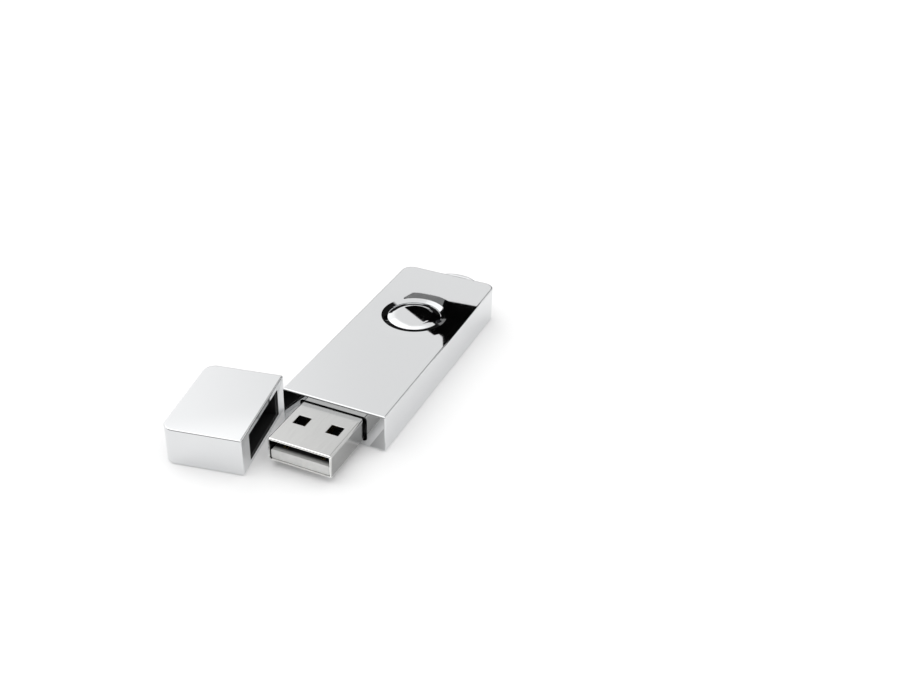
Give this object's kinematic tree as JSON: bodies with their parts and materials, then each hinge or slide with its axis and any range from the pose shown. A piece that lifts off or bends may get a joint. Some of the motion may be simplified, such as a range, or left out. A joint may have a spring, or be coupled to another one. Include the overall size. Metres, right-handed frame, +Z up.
{
  "type": "usb flash drive",
  "caption": "USB flash drive in a mirror-polished bar casing with a ring ornament and a key-ring loop, its cap lying beside the open plug.",
  "frame": {"origin": "centre of the casing's underside, on the surface that the drive lies on", "axes": "+X along the casing towards the key-ring loop, +Y to the side where the cap lies, +Z up"},
  "size_m": [0.0748, 0.0358, 0.0072],
  "materials": {
    "polished_chrome": "mirror polished chrome plating on die-cast zinc",
    "plug_steel": "satin tin-plated steel with a fine grain",
    "tongue_plastic": "pale grey moulded plastic",
    "contact_gold": "gold flash on copper alloy",
    "board_green": "solder mask over glass-fibre laminate",
    "chip_black": "moulded epoxy",
    "lead_tin": "tin-plated leads",
    "crystal_can": "lidded metal can",
    "capacitor_tan": "ceramic chip",
    "resistor_black": "glazed chip",
    "lamp_lens": "clear epoxy lens",
    "light_pipe_dark": "smoked acrylic",
    "carrier_black": "moulded ABS",
    "foam_grey": "closed-cell foam",
    "liner_black": "moulded ABS"
  },
  "bodies": {
    "drive": {"casing": "polished_chrome", "bottom_cover": "polished_chrome", "medallion": "polished_chrome", "keyring_loop": "polished_chrome", "usb_plug_shell": "plug_steel", "usb_plug_tongue": "tongue_plastic", "usb_contact_power": "contact_gold", "usb_contact_data_minus": "contact_gold", "usb_contact_data_plus": "contact_gold", "usb_contact_ground": "contact_gold", "circuit_board": "board_green", "flash_memory_chip": "chip_black", "flash_memory_leads": "lead_tin", "controller_chip": "chip_black", "crystal_oscillator": "crystal_can", "activity_lamp": "lamp_lens", "chip_capacitors": "capacitor_tan", "chip_resistors": "resistor_black", "light_pipe": "light_pipe_dark", "board_carrier": "carrier_black", "board_retainer": "carrier_black", "foam_pad": "foam_grey"},
    "cap": {"cap_shell": "polished_chrome", "cap_liner": "liner_black"}
  },
  "joints": [
    {"name": "cap_pull_off", "type": "slide", "parent": "drive", "child": "cap", "axis": [-0.1882, 0.9821, 0], "range_m": [0, 0.02]}
  ]
}
